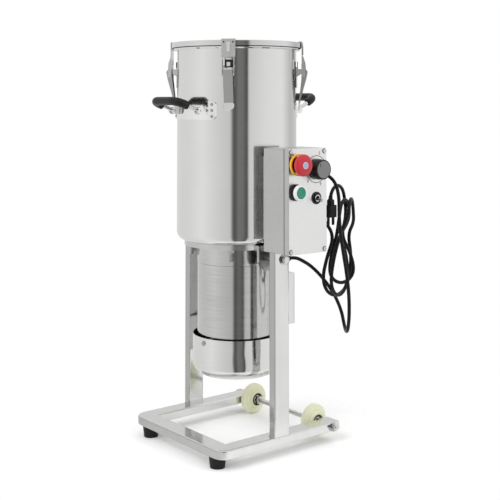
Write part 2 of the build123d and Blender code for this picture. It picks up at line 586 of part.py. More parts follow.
def make_fasteners():
    """Cradle bolts, cup screws and handle rivets."""
    with BuildPart() as body_fasteners:
        with PolarLocations(95, 4, start_angle=45):
            with Locations((0, 0, CRADLE_BOTTOM)):
                Cylinder(4, BARREL_BOTTOM - CRADLE_BOTTOM, align=(Align.CENTER, Align.CENTER, Align.MIN))
            with Locations((0, 0, CRADLE_BOTTOM - 24)):
                Cylinder(4, 24, align=(Align.CENTER, Align.CENTER, Align.MIN))
        with BuildSketch(Plane.XY.offset(CRADLE_BOTTOM - 6.5)):
            with PolarLocations(95, 4, start_angle=45):
                RegularPolygon(6.5, 6, major_radius=False)
        extrude(amount=6.5)
        for angle in (-85, 35, 155):
            direction = Vector(cos(radians(angle)), sin(radians(angle)), 0)
            start = direction * MOTOR_R + Vector(0, 0, CUP_TOP - 10)
            with BuildSketch(Plane(origin=start, z_dir=direction)):
                Circle(2.5)
            extrude(amount=CUP_R - MOTOR_R + 0.2)
            with BuildSketch(Plane(origin=start + direction * (CUP_R - MOTOR_R + 0.2), z_dir=direction)):
                Circle(5)
            extrude(amount=2.5, taper=25)
        for side in (-1, 1):
            for spread in (-29, 29):
                direction_angle = radians(side * 90 + spread)
                direction = Vector(cos(direction_angle), sin(direction_angle), 0)
                for rise in (6.5, HANDLE_PLATE_H / 2, HANDLE_PLATE_H - 6.5):
                    start = direction * (BARREL_R + 2.72) + Vector(0, 0, HANDLE_PLATE_Z0 + rise)
                    with BuildSketch(Plane(origin=start, z_dir=direction)):
                        Circle(3.2)
                    extrude(amount=1.6, taper=20)
    save(body_fasteners, "body_fasteners")


# ---------------------------------------------------------------- motor
def make_motor_shells():
    with BuildPart() as end_shields:
        turned([(SEAL_R - 4, CRADLE_BOTTOM - 18), (SEAL_R + 6, CRADLE_BOTTOM - 18), (SEAL_R + 10, CRADLE_BOTTOM - 8),
                (MOTOR_R - 8, CRADLE_BOTTOM - 8), (MOTOR_R - 8, MOTOR_SEAM), (MOTOR_R, MOTOR_SEAM),
                (MOTOR_R + 0.6, MOTOR_SEAM + 4), (MOTOR_R - 2.5, CRADLE_BOTTOM), (SEAL_R - 4, CRADLE_BOTTOM)])
        turned([(SEAL_R - 4, MOTOR_BOTTOM - 8), (MOTOR_R - 3, MOTOR_BOTTOM - 8), (MOTOR_R, MOTOR_BOTTOM - 5),
                (MOTOR_R, MOTOR_BOTTOM), (SEAL_R + 8, MOTOR_BOTTOM), (SEAL_R + 4, MOTOR_BOTTOM + 8),
                (SEAL_R - 4, MOTOR_BOTTOM + 8)])
    save(end_shields, "motor_end_shields")
    with BuildPart() as motor_housing:
        ring(MOTOR_R, MOTOR_R - MOTOR_WALL, MOTOR_BOTTOM, MOTOR_SEAM)
        chamfer(motor_housing.edges().filter_by(GeomType.CIRCLE).group_by(Axis.Z)[-1].sort_by(SortBy.RADIUS)[-1], 0.8)
    save(motor_housing, "motor_housing")
    with BuildPart() as terminal_box:
        block((-38, 38), (70, 132), (222, 329))
        fillet(terminal_box.edges().filter_by(Axis.Z).group_by(Axis.Y)[-1], 9)
        fillet(terminal_box.faces().sort_by(Axis.Z)[-1].edges().filter_by(lambda e: e.center().Y > 75), 4)
        with BuildSketch(Plane.XY.offset(200)):
            Circle(MOTOR_R)
        extrude(amount=150, mode=Mode.SUBTRACT)
        block((-34, 34), (60, 128), (226, 325), mode=Mode.SUBTRACT)
    save(terminal_box, "terminal_box")


def make_cup():
    """Open cup over the motor's lower end, held off the housing by three pads."""
    inner, floor = CUP_R - CUP_WALL, CUP_BOTTOM + CUP_WALL
    corner_in = CUP_CORNER - CUP_WALL
    with BuildPart() as lower_cup:
        with BuildSketch(Plane.XZ):
            with BuildLine():
                Line((0, CUP_BOTTOM), (CUP_R - CUP_CORNER, CUP_BOTTOM))
                RadiusArc((CUP_R - CUP_CORNER, CUP_BOTTOM), (CUP_R, CUP_BOTTOM + CUP_CORNER), -CUP_CORNER)
                Polyline((CUP_R, CUP_BOTTOM + CUP_CORNER), (CUP_R, CUP_TOP), (inner, CUP_TOP),
                         (inner, floor + corner_in))
                RadiusArc((inner, floor + corner_in), (inner - corner_in, floor), corner_in)
                Polyline((inner - corner_in, floor), (0, floor), (0, CUP_BOTTOM))
            make_face()
        revolve(axis=Axis.Z)
        with BuildSketch(Plane.XY.offset(CUP_BOTTOM - 1)):
            with PolarLocations(45, 12):
                SlotOverall(26, 5, rotation=0)
        extrude(amount=CUP_WALL + 2, mode=Mode.SUBTRACT)
        for angle in (-85, 35, 155):
            direction = Vector(cos(radians(angle)), sin(radians(angle)), 0)
            start = direction * MOTOR_R + Vector(0, 0, CUP_TOP - 10)
            with BuildSketch(Plane(origin=start, z_dir=direction)):
                Circle(6)
            extrude(amount=CUP_R - CUP_WALL - MOTOR_R + 0.3)
            with BuildSketch(Plane(origin=start, z_dir=direction)):
                Circle(2.5)
            extrude(amount=CUP_R - MOTOR_R + 2, mode=Mode.SUBTRACT)
        with BuildSketch(Plane.XY.offset(CUP_TOP - 20)):
            Circle(MOTOR_R)
        extrude(amount=18, mode=Mode.SUBTRACT)
    save(lower_cup, "lower_cup")


def make_motor_inside():
    with BuildPart() as bearings:
        ring(SEAL_R - 4, SHAFT_R + FIT, CRADLE_BOTTOM - 17, CRADLE_BOTTOM - 3)
        ring(SEAL_R - 4, SHAFT_R + FIT, MOTOR_BOTTOM - 7, MOTOR_BOTTOM + 7)
    save(bearings, "motor_bearings")
    with BuildPart() as stator:
        ring(MOTOR_R - MOTOR_WALL, 58, 205, 315)
        ring(74, 59, 190, 205)
        ring(74, 59, 315, 330)
    save(stator, "stator")
    with BuildPart() as rotor_core:
        ring(57, SHAFT_R, 200, 320)
    save(rotor_core, "rotor_core")
    with BuildPart() as drive_shaft:
        turned([(0, 141), (SHAFT_R, 141), (SHAFT_R, 430), (8, 430), (8, 444), (7, 445), (0, 445)])
    save(drive_shaft, "drive_shaft")
    with BuildPart() as cooling_fan:
        ring(20, SHAFT_R, 142, 154)
        ring(66, 20, 150, 151.5)
        for turn in range(8):
            angle = radians(360 / 8 * turn)
            with BuildSketch(Plane.XY.offset(142)):
                with Locations(Location((42 * cos(angle), 42 * sin(angle), 0), (0, 0, degrees(angle) + 12))):
                    Rectangle(44, 2)
            extrude(amount=10)
    save(cooling_fan, "cooling_fan")


def make_blades():
    with BuildPart() as blade_set:
        ring(20, SHAFT_R, BARREL_BOTTOM + 9.5, 430)
        for turn in range(4):
            height = 424 if turn % 2 else 420
            lift = 12 if turn % 2 else 0
            angle = 90 * turn + 20
            a = radians(angle)
            plane = Plane(origin=(15 * cos(a), 15 * sin(a), height), x_dir=(cos(a), sin(a), sin(radians(lift))),
                          z_dir=(-sin(radians(lift)) * cos(a), -sin(radians(lift)) * sin(a), cos(radians(lift))))
            with BuildSketch(plane):
                with BuildLine():
                    Polyline((0, -9), (0, 9), (70, 13), (92, -4), (70, -9), close=True)
                make_face()
            extrude(amount=2.5)
        with BuildSketch(Plane.XY.offset(430)):
            RegularPolygon(13, 6, major_radius=False)
            Circle(8, mode=Mode.SUBTRACT)
        extrude(amount=11)
    save(blade_set, "blade_set")


# ---------------------------------------------------------------- latches
def sheet_between(plane, points, t0, t1):
    """A flat plate with the given outline, from t0 to t1 along the plane's normal."""
    with BuildSketch(plane.offset(t0)) as outline:
        with BuildLine():
            Polyline(*points, close=True)
        make_face()
    extrude(outline.sketch, amount=t1 - t0)


def pin(plane, centre, r, half, mode=Mode.ADD):
    with BuildSketch(plane.offset(-half)) as outline:
        with Locations(centre):
            Circle(r)
    extrude(outline.sketch, amount=2 * half, mode=mode)


def make_latch_brackets():
    """Four brackets on the barrel, each a base plate with two ears and the lever's pivot pin."""
    a_r, a_z = LATCH_A
    with BuildPart() as latch_brackets:
        for angle in LATCH_ANGLES.values():
            plane = radial(angle)
            sheet_between(plane, [(BARREL_R + 0.1, 723), (BARREL_R + 1.8, 723), (BARREL_R + 1.8, 766),
                                  (BARREL_R + 0.1, 766)], -12, 12)
            for side in (-1, 1):
                t0, t1 = sorted((side * 5, side * 6.5))
                sheet_between(plane, [(BARREL_R + 1.8, a_z - 11), (a_r - 6, a_z - 5), (a_r, a_z - 5), (a_r, a_z + 5),
                                      (BARREL_R + 1.8, a_z + 5)], t0, t1)
                with BuildSketch(plane.offset(t0)):
                    with Locations(LATCH_A):
                        Circle(5)
                extrude(amount=1.5)
            pin(plane, LATCH_A, LATCH_PIN_R, 10.3)
    save(latch_brackets, "latch_brackets")


def make_latch(name, angle):
    plane = radial(angle)
    a_r, a_z = LATCH_A
    with BuildPart() as lever:
        sheet_between(plane, [(a_r + 6.2, a_z), (a_r + 7.7, a_z), (146.2, 741), (133.5, 697), (131.8, 679.5),
                              (130.3, 679.5), (131.9, 697), (144.6, 741)], -9.5, 9.5)
        for side in (-1, 1):
            t0, t1 = sorted((side * 8, side * 9.5))
            sheet_between(plane, [(a_r - 5, a_z), (a_r, a_z + 5), (a_r + 5, a_z + 3.5), (a_r + 7.2, a_z), (146, 741),
                                  (133.2, 697), (131.8, 699), (136.5, 741)], t0, t1)
        pin(plane, LATCH_A, LATCH_PIN_R + FIT, 12, mode=Mode.SUBTRACT)
        pin(plane, LATCH_B, LATCH_PIN_R + FIT, 12, mode=Mode.SUBTRACT)
    save(lever, "latch_lever_" + name)
    b_r, b_z = LATCH_B
    face = LID_R + 0.6
    lip = LID_TOP + 0.5
    with BuildPart() as hook:
        sheet_between(plane, [(face, 782), (face + 1.7, 782), (face + 1.7, lip + 1), (face + 0.7, lip + 1.8),
                              (LID_R - 7, lip + 1.8), (LID_R - 7, lip), (face, lip)], -14, 14)
        with BuildSketch(plane.offset(-4)):
            with Locations((face + 1.7, 800)):
                RectangleRounded(2.4, 18, 1.1)
        extrude(amount=8)
        for side in (-1, 1):
            t0, t1 = sorted((side * 11, side * 12.5))
            sheet_between(plane, [(b_r - 4, b_z), (b_r - 2.5, b_z - 3), (b_r + 2.5, b_z - 3), (b_r + 4, b_z),
                                  (b_r + 2.5, 774), (face + 1.5, 790), (face, 790), (face - 0.1, 774)], t0, t1)
        pin(plane, LATCH_B, LATCH_PIN_R, 12.5)
    save(hook, "latch_hook_" + name)


# ---------------------------------------------------------------- handles
def make_handle_plates():
    """Curved plates riveted to the barrel, each with two pairs of cheeks and their pins."""
    inner = BARREL_R + 0.2
    outer = BARREL_R + 2.7
    with BuildPart() as handle_plates:
        with BuildSketch(Plane.XY.offset(HANDLE_PLATE_Z0)):
            Circle(outer)
            Circle(inner, mode=Mode.SUBTRACT)
        extrude(amount=HANDLE_PLATE_H)
        with BuildSketch(Plane.XZ):
            with Locations((0, HANDLE_PLATE_Z0 + HANDLE_PLATE_H / 2)):
                RectangleRounded(2 * HANDLE_PLATE_HALF, HANDLE_PLATE_H, 8)
        extrude(amount=BARREL_R + 10, both=True, mode=Mode.INTERSECT)
        for side in (-1, 1):
            for x0 in (-53.5, -39, 34.7, 49.2):
                with BuildSketch(across(x0, 0, 0)):
                    with Locations((side * BAIL_Y, BAIL_Z)):
                        Circle(7.5)
                    with Locations((side * (BAIL_Y - 8), BAIL_Z)):
                        Rectangle(16, 15)
                extrude(amount=4.3)
        with BuildSketch(Plane.XY.offset(HANDLE_PLATE_Z0)):
            Circle(inner)
        extrude(amount=HANDLE_PLATE_H, mode=Mode.SUBTRACT)
        for side in (-1, 1):
            for x0 in (-54.5, 33.7):
                disc(x0, x0 + 20.8, side * BAIL_Y, BAIL_Z, 3)
    save(handle_plates, "handle_plates")


def bail_plane(side, lift):
    """The bail's own plane: its x is along X and its y points outwards and up from the pivot."""
    rise = radians(lift)
    out = Vector(0, side * cos(rise), sin(rise))
    along = Vector(1, 0, 0)
    return Plane(origin=(0, side * BAIL_Y, BAIL_Z), x_dir=along, z_dir=along.cross(out))


def make_bail(side, reach, lift, name):
    plane = bail_plane(side, lift)
    with BuildPart() as bail:
        with BuildLine(plane) as path:
            FilletPolyline((BAIL_X, 5), (BAIL_X, reach), (-BAIL_X, reach), (-BAIL_X, 5), radius=BAIL_CORNER)
        with BuildSketch(Plane(origin=path.line @ 0, z_dir=path.line % 0)):
            Circle(BAIL_R)
        sweep()
        for x0 in (-BAIL_X - 4.8, BAIL_X - 4.8):
            disc(x0, x0 + 9.6, side * BAIL_Y, BAIL_Z, 6.5)
            disc(x0, x0 + 9.6, side * BAIL_Y, BAIL_Z, 3 + FIT, mode=Mode.SUBTRACT)
    save(bail, name + "_bail")
    start = reach - GRIP_DEPTH
    with BuildPart() as grip:
        with BuildLine(plane) as path:
            FilletPolyline((BAIL_X, start), (BAIL_X, reach), (-BAIL_X, reach), (-BAIL_X, start),
                           radius=BAIL_CORNER)
        with BuildSketch(Plane(origin=path.line @ 0, z_dir=path.line % 0)):
            Circle(GRIP_R)
            Circle(BAIL_R, mode=Mode.SUBTRACT)
        sweep()
    save(grip, name + "_grip")


def make_lock_knob():
    """Spring knob on the left ear: a pin towards the upright and a black knob on the inner side."""
    with BuildPart() as lock_knob:
        disc(-UPRIGHT_IN + 0.7, -EAR_X + 4, LOCK_Y, LOCK_Z, LOCK_R)
        disc(-EAR_X + GAP, -EAR_X + 14, LOCK_Y, LOCK_Z, 6.3)
        chamfer(lock_knob.faces().sort_by(Axis.X)[-1].edges(), 1)
    save(lock_knob, "tilt_lock_knob")


# ---------------------------------------------------------------- the whole part
def main():
    os.makedirs("parts", exist_ok=True)
    make_base_frame()
    make_upright(-1, LEFT_UPRIGHT_TOP, "left_upright")
    make_upright(1, RIGHT_UPRIGHT_TOP, "right_upright")
    make_tube_plugs()
    make_feet()
    make_wheel(LEFT_WHEEL_X, "left_wheel")
    make_wheel(RIGHT_WHEEL_X, "right_wheel")
    make_axle()
    make_axle_nuts()
    make_pivot_bolts()
    make_pivot_spacers()
    make_control_box()
    make_control_panel()
    make_panel_screws()
    make_controller()
    make_estop_body()
    make_estop_moving()
    make_button()
    make_knob()
    make_toggle()
    make_glands()
    make_cords()
    make_cradle()
    make_barrel()
    make_lid()
    make_seal_housing()
    make_fasteners()
    make_motor_shells()
    make_cup()
    make_motor_inside()
    make_blades()
    make_latch_brackets()
    for name, angle in LATCH_ANGLES.items():
        make_latch(name, angle)
    make_handle_plates()
    make_bail(-1, FRONT_REACH, FRONT_RISE, "front")
    make_bail(1, REAR_REACH, REAR_RISE, "rear")
    make_lock_knob()


main()
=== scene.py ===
import bpy
import bmesh
from math import radians, sin, cos, pi
from mathutils import Vector, Matrix


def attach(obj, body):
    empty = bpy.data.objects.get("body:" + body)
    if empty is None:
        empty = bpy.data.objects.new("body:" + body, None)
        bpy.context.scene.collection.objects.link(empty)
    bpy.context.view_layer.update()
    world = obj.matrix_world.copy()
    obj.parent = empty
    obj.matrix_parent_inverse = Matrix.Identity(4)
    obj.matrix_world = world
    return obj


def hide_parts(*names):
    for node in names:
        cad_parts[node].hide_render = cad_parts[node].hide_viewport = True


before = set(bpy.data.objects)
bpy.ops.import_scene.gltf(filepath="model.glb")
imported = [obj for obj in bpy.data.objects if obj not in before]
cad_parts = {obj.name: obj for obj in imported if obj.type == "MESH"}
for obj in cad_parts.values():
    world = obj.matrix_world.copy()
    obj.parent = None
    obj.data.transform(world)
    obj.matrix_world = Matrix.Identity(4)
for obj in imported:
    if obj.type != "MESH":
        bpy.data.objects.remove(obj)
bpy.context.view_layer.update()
CX = 0.045


def at(x, y, z):
    """A point given in millimetres from the barrel's axis and the floor, in metres in the part's frame."""
    return Vector((x / 1000 - CX, y / 1000, z / 1000))


# ---------------------------------------------------------------- materials
def new_material(name):
    m = bpy.data.materials.new(name)
    m.use_nodes = True
    t = m.node_tree
    return m, t, t.nodes["Principled BSDF"]


def node(t, kind, **values):
    n = t.nodes.new(kind)
    for key, value in values.items():
        if hasattr(n, key):
            setattr(n, key, value)
    return n


def coords(t, cylindrical, scale):
    """Object coordinates, or the barrel's own angle and height, stretched by scale."""
    tc = node(t, "ShaderNodeTexCoord")
    mapping = node(t, "ShaderNodeMapping")
    mapping.inputs["Scale"].default_value = scale
    if cylindrical:
        sep = node(t, "ShaderNodeSeparateXYZ")
        t.links.new(tc.outputs["Object"], sep.inputs[0])
        shift = node(t, "ShaderNodeMath", operation="ADD")
        shift.inputs[1].default_value = CX
        t.links.new(sep.outputs["X"], shift.inputs[0])
        angle = node(t, "ShaderNodeMath", operation="ARCTAN2")
        t.links.new(sep.outputs["Y"], angle.inputs[0])
        t.links.new(shift.outputs[0], angle.inputs[1])
        comb = node(t, "ShaderNodeCombineXYZ")
        t.links.new(angle.outputs[0], comb.inputs["X"])
        t.links.new(sep.outputs["Z"], comb.inputs["Z"])
        t.links.new(comb.outputs[0], mapping.inputs["Vector"])
    else:
        t.links.new(tc.outputs["Object"], mapping.inputs["Vector"])
    return mapping.outputs[0]


def spread(t, source, low, high):
    """Map a 0..1 noise to low..high."""
    r = node(t, "ShaderNodeMapRange")
    r.inputs["From Min"].default_value = 0.3
    r.inputs["From Max"].default_value = 0.7
    r.inputs["To Min"].default_value = low
    r.inputs["To Max"].default_value = high
    t.links.new(source, r.inputs["Value"])
    return r.outputs[0]


def metal(name, light, dark, rough, grain, cylindrical=False, bump=0.02, smudge=0.03, scale=9.0, side=1.0,
          wave=0.0):
    """Bare metal: fine grain lines, large soft smudges, a little tone change, and painted shade on faces
    whose own normal points to -Y, as dark as side.
    """
    m, t, b = new_material(name)
    b.inputs["Metallic"].default_value = 1.0
    lines = node(t, "ShaderNodeTexNoise")
    lines.inputs["Scale"].default_value = 1.0
    lines.inputs["Detail"].default_value = 5.0
    t.links.new(coords(t, cylindrical, grain), lines.inputs["Vector"])
    cloud = node(t, "ShaderNodeTexNoise")
    cloud.inputs["Scale"].default_value = scale
    cloud.inputs["Detail"].default_value = 3.0
    t.links.new(coords(t, False, (1, 1, 1)), cloud.inputs["Vector"])
    tone = node(t, "ShaderNodeMix", data_type="RGBA")
    tone.inputs[6].default_value = (*dark, 1)
    tone.inputs[7].default_value = (*light, 1)
    mixed = node(t, "ShaderNodeMath", operation="ADD")
    t.links.new(spread(t, lines.outputs["Fac"], 0.0, 0.5), mixed.inputs[0])
    t.links.new(spread(t, cloud.outputs["Fac"], 0.0, 0.5), mixed.inputs[1])
    t.links.new(mixed.outputs[0], tone.inputs[0])
    # painted shade: the base colour of faces whose own normal points to -Y is scaled down, to side times the
    # tone at -0.9 and below
    own = node(t, "ShaderNodeTexCoord")
    facing = node(t, "ShaderNodeSeparateXYZ")
    t.links.new(own.outputs["Normal"], facing.inputs[0])
    painted_side_shade = node(t, "ShaderNodeMapRange")
    painted_side_shade.inputs["From Min"].default_value = -0.9
    painted_side_shade.inputs["From Max"].default_value = -0.4
    painted_side_shade.inputs["To Min"].default_value = side
    t.links.new(facing.outputs["Y"], painted_side_shade.inputs["Value"])
    scaled = node(t, "ShaderNodeVectorMath", operation="SCALE")
    t.links.new(tone.outputs[2], scaled.inputs[0])
    t.links.new(painted_side_shade.outputs[0], scaled.inputs["Scale"])
    t.links.new(scaled.outputs[0], b.inputs["Base Color"])
    rsum = node(t, "ShaderNodeMath", operation="ADD")
    t.links.new(spread(t, lines.outputs["Fac"], rough * 0.85, rough * 1.15), rsum.inputs[0])
    t.links.new(spread(t, cloud.outputs["Fac"], -smudge / 2, smudge / 2), rsum.inputs[1])
    t.links.new(rsum.outputs[0], b.inputs["Roughness"])
    bp = node(t, "ShaderNodeBump")
    bp.inputs["Strength"].default_value = bump
    bp.inputs["Distance"].default_value = 0.001
    t.links.new(lines.outputs["Fac"], bp.inputs["Height"])
    if wave:
        swell = node(t, "ShaderNodeTexNoise")
        swell.inputs["Scale"].default_value = 11.0
        swell.inputs["Detail"].default_value = 1.0
        t.links.new(coords(t, False, (1, 1, 1.6)), swell.inputs["Vector"])
        dent = node(t, "ShaderNodeBump")
        dent.inputs["Strength"].default_value = wave
        dent.inputs["Distance"].default_value = 0.004
        t.links.new(swell.outputs["Fac"], dent.inputs["Height"])
        t.links.new(dent.outputs[0], bp.inputs["Normal"])
    t.links.new(bp.outputs[0], b.inputs["Normal"])
    return m


def moulded(name, light, dark, rough, bump=0.15, scale=260.0, coat=0.0, spec=0.5):
    """Plastic, rubber or paint: fine moulded texture, tone change and dulled patches."""
    m, t, b = new_material(name)
    fine = node(t, "ShaderNodeTexNoise")
    fine.inputs["Scale"].default_value = scale
    fine.inputs["Detail"].default_value = 4.0
    t.links.new(coords(t, False, (1, 1, 1)), fine.inputs["Vector"])
    broad = node(t, "ShaderNodeTexNoise")
    broad.inputs["Scale"].default_value = 14.0
    broad.inputs["Detail"].default_value = 3.0
    t.links.new(coords(t, False, (1, 1, 1)), broad.inputs["Vector"])
    tone = node(t, "ShaderNodeMix", data_type="RGBA")
    tone.inputs[6].default_value = (*dark, 1)
    tone.inputs[7].default_value = (*light, 1)
    t.links.new(spread(t, broad.outputs["Fac"], 0.0, 1.0), tone.inputs[0])
    t.links.new(tone.outputs[2], b.inputs["Base Color"])
    t.links.new(spread(t, broad.outputs["Fac"], rough * 0.85, rough * 1.15), b.inputs["Roughness"])
    b.inputs["Specular IOR Level"].default_value = spec
    b.inputs["Coat Weight"].default_value = coat
    bp = node(t, "ShaderNodeBump")
    bp.inputs["Strength"].default_value = bump
    bp.inputs["Distance"].default_value = 0.0004
    t.links.new(fine.outputs["Fac"], bp.inputs["Height"])
    t.links.new(bp.outputs[0], b.inputs["Normal"])
    return m


# side= sets the painted shade on faces that point to -Y
POLISHED = metal("polished_tube", (0.76, 0.76, 0.75), (0.66, 0.66, 0.65), 0.10, (40, 40, 5), bump=0.008,
                 side=0.62)
BARREL = metal("brushed_barrel", (0.74, 0.74, 0.73), (0.68, 0.68, 0.67), 0.09, (3, 1, 900), True, bump=0.012)
MOTOR = metal("brushed_motor", (0.60, 0.60, 0.59), (0.47, 0.47, 0.46), 0.14, (1.2, 1, 520), True, bump=0.03)
CUP = metal("polished_cup", (0.74, 0.74, 0.73), (0.66, 0.66, 0.65), 0.09, (3, 1, 900), True, bump=0.01,
            wave=0.6)
PLATE = metal("handle_plate", (0.84, 0.84, 0.83), (0.74, 0.74, 0.73), 0.12, (500, 500, 30), bump=0.02)
RIVET = metal("dull_rivet", (0.42, 0.42, 0.41), (0.32, 0.32, 0.31), 0.25, (150, 150, 150), bump=0.02)
SHEET = metal("pressed_steel", (0.78, 0.78, 0.77), (0.66, 0.66, 0.65), 0.20, (500, 500, 30), bump=0.02,
              side=0.75)
LEVER = metal("lever_steel", (0.52, 0.52, 0.51), (0.44, 0.44, 0.43), 0.26, (700, 700, 20), bump=0.03)
TIP = metal("bright_tip", (0.86, 0.86, 0.85), (0.76, 0.76, 0.75), 0.16, (150, 150, 150), bump=0.01)
BRIGHT = metal("bright_steel", (0.74, 0.74, 0.73), (0.60, 0.60, 0.59), 0.12, (150, 150, 150), bump=0.02,
               side=0.7)
LIDMETAL = metal("lid_metal", (0.72, 0.72, 0.71), (0.62, 0.62, 0.61), 0.14, (3, 1, 1400), True, bump=0.015)
PANEL = metal("satin_panel", (0.84, 0.84, 0.835), (0.72, 0.72, 0.715), 0.34, (60, 900, 60), bump=0.03,
              side=0.66)
BOX = metal("satin_box", (0.72, 0.72, 0.715), (0.60, 0.60, 0.595), 0.30, (900, 60, 60), bump=0.03, side=0.78)
RUBBER = moulded("black_rubber", (0.014, 0.014, 0.014), (0.006, 0.006, 0.006), 0.55, bump=0.35, scale=420,
                 spec=0.2)
GRIP = moulded("grip_rubber", (0.012, 0.012, 0.012), (0.005, 0.005, 0.005), 0.40, bump=0.25, scale=500,
               spec=0.3)
BLACK = moulded("black_plastic", (0.012, 0.012, 0.012), (0.005, 0.005, 0.005), 0.35, bump=0.12, scale=700,
                spec=0.25)
CORD = moulded("cord_sheath", (0.008, 0.008, 0.008), (0.003, 0.003, 0.003), 0.38, bump=0.12, scale=600,
               spec=0.2)
RED = moulded("red_plastic", (0.56, 0.028, 0.045), (0.46, 0.018, 0.03), 0.26, bump=0.05, scale=500,
              coat=0.2, spec=0.3)
GREEN = moulded("green_plastic", (0.004, 0.24, 0.15), (0.002, 0.17, 0.11), 0.25, bump=0.05, scale=500,
                coat=0.2)
YELLOW = moulded("yellow_plastic", (0.85, 0.45, 0.02), (0.75, 0.36, 0.015), 0.35, bump=0.08, scale=500)
NYLON = moulded("cream_nylon", (0.76, 0.77, 0.56), (0.68, 0.69, 0.47), 0.42, bump=0.15, scale=300)
GREYFACE = moulded("grey_face", (0.21, 0.21, 0.21), (0.17, 0.17, 0.17), 0.42, bump=0.10, scale=500, spec=0.3)
WHITE = moulded("white_bezel", (0.80, 0.80, 0.80), (0.72, 0.72, 0.72), 0.30, bump=0.05, scale=500)
BADGE = moulded("badge_print", (0.52, 0.55, 0.66), (0.44, 0.47, 0.58), 0.40, bump=0.03, scale=500)
BADGE_INK = moulded("badge_ink", (0.10, 0.12, 0.34), (0.08, 0.10, 0.28), 0.40, bump=0.03, scale=500)
IRON = moulded("dark_iron", (0.16, 0.16, 0.17), (0.10, 0.10, 0.11), 0.6, bump=0.5, scale=200)
INK = moulded("printed_ink", (0.05, 0.05, 0.05), (0.03, 0.03, 0.03), 0.5, bump=0.02, scale=500, spec=0.1)

LOOK = {
    "base_frame": POLISHED, "left_upright": POLISHED, "right_upright": POLISHED, "tube_plugs": BLACK,
    "rubber_feet": RUBBER, "left_wheel": NYLON, "right_wheel": NYLON, "wheel_axle": BRIGHT,
    "axle_nuts": BRIGHT,
    "pivot_bolts": BRIGHT, "pivot_spacers": BRIGHT, "control_box": BOX, "control_panel": PANEL,
    "panel_screws": BRIGHT, "speed_controller": IRON, "estop_body": BLACK, "estop_stem": BLACK,
    "estop_cap": RED,
    "button_housing": BLACK, "green_button": GREEN, "potentiometer": BLACK, "speed_knob": BLACK,
    "toggle_body": BLACK, "toggle_lever": LEVER, "cable_glands": BLACK, "plug": RUBBER, "cradle": SHEET,
    "barrel": BARREL, "lid": LIDMETAL, "lid_gasket": RUBBER, "seal_housing": SHEET, "body_fasteners": RIVET,
    "motor_end_shields": MOTOR, "motor_housing": MOTOR, "terminal_box": SHEET, "lower_cup": CUP,
    "motor_bearings": BRIGHT, "stator": IRON, "rotor_core": IRON, "drive_shaft": BRIGHT, "cooling_fan": BLACK,
    "blade_set": BRIGHT, "latch_brackets": SHEET, "handle_plates": PLATE, "front_bail": BRIGHT,
    "rear_bail": BRIGHT, "front_grip": GRIP, "rear_grip": GRIP, "tilt_lock_knob": BLACK,
}


def dress(obj, material):
    obj.data.materials.clear()
    obj.data.materials.append(material)


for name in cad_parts:
    obj = bpy.data.objects.get(name)
    if obj is None:
        continue
    if name.startswith("latch_lever"):
        dress(obj, LEVER)
    elif name.startswith("latch_"):
        dress(obj, SHEET)
    elif name in LOOK:
        dress(obj, LOOK[name])

# ---------------------------------------------------------------- cords
LEAD = [(176, 54, 548), (177, 71, 551), (186, 87, 547), (201, 94, 532), (215, 90, 505), (225, 80, 470),
        (232, 77, 434), (236, 81, 396), (238, 88, 356), (238, 94, 312), (236, 96, 272), (226, 102, 243),
        (205, 117, 234), (184, 132, 244), (172, 136, 270), (169, 118, 306), (163, 92, 340), (156, 68, 364),
        (149, 46, 378), (146, 32, 383), (146, 18, 383)]
SUPPLY_START = [(160, 54, 470), (161, 74, 468), (172, 90, 455)]
# each turn: the lower loop's and the upper loop's (left y, right y, end z, left x, right x), and its waist
TURNS = [((72, 158, 303, 186, 174), (126, 178, 496, 205, 165), (190, 100), (184, 144)),
         ((78, 149, 305, 203, 178), (110, 160, 495, 196, 172), (199, 106), (175, 131)),
         ((96, 152, 328, 180, 193), (94, 156, 524, 184, 162), (189, 108), (185, 124))]
WAIST_Z = 424
SUPPLY_END = (184, 97, 484)
LOOP_ANGLES = (5, 47.5, 90, 132.5, 175)
LOOP_FULLNESS = 1.04      # a spline runs inside its control points


def loop_points(loop, sign):
    y0, y1, z_end, x0, x1 = loop
    r = ((y1 - y0) ** 2 + (x1 - x0) ** 2) ** 0.5 / 2
    zc = z_end - sign * r
    points = []
    for a in LOOP_ANGLES:
        c = LOOP_FULLNESS * cos(radians(a))
        s = LOOP_FULLNESS * sin(radians(a))
        points.append((x0 + (x1 - x0) * (1 - c) / 2, (y0 + y1) / 2 - (y1 - y0) / 2 * c, zc + sign * r * s))
    return points


def between(a, b, f, dy=0.0):
    return (a[0] + (b[0] - a[0]) * f, a[1] + (b[1] - a[1]) * f + dy, a[2] + (b[2] - a[2]) * f)


def turn_points(lower, upper, left, right):
    low = loop_points(lower, -1)
    up = loop_points(upper, 1)
    w0 = (*left, WAIST_Z)
    w1 = (*right, WAIST_Z)
    return ([w0, between(w0, low[0], 0.5, -4)] + low + [between(low[-1], w1, 0.5, 6), w1,
            between(w1, up[-1], 0.5, 9)] + up[::-1])


def cord_curve(name, points, radius):
    curve = bpy.data.curves.new(name, "CURVE")
    curve.dimensions = "3D"
    curve.bevel_depth = radius
    curve.bevel_resolution = 5
    curve.resolution_u = 10
    curve.use_fill_caps = True
    spline = curve.splines.new("NURBS")
    spline.points.add(len(points) - 1)
    for p, xyz in zip(spline.points, points):
        p.co = (*at(*xyz), 1)
    spline.order_u = 3
    spline.use_endpoint_u = True
    obj = bpy.data.objects.new(name, curve)
    bpy.context.collection.objects.link(obj)
    curve.materials.append(CORD)
    return obj


def curve_length(obj):
    c = obj.data.copy()
    c.bevel_depth = 0
    tmp = bpy.data.objects.new("tmp", c)
    mesh = bpy.data.meshes.new_from_object(tmp)
    ends = [[mesh.vertices[v].co for v in e.vertices] for e in mesh.edges]
    total = sum((a - b).length for a, b in ends)
    bpy.data.objects.remove(tmp)
    bpy.data.meshes.remove(mesh)
    return total


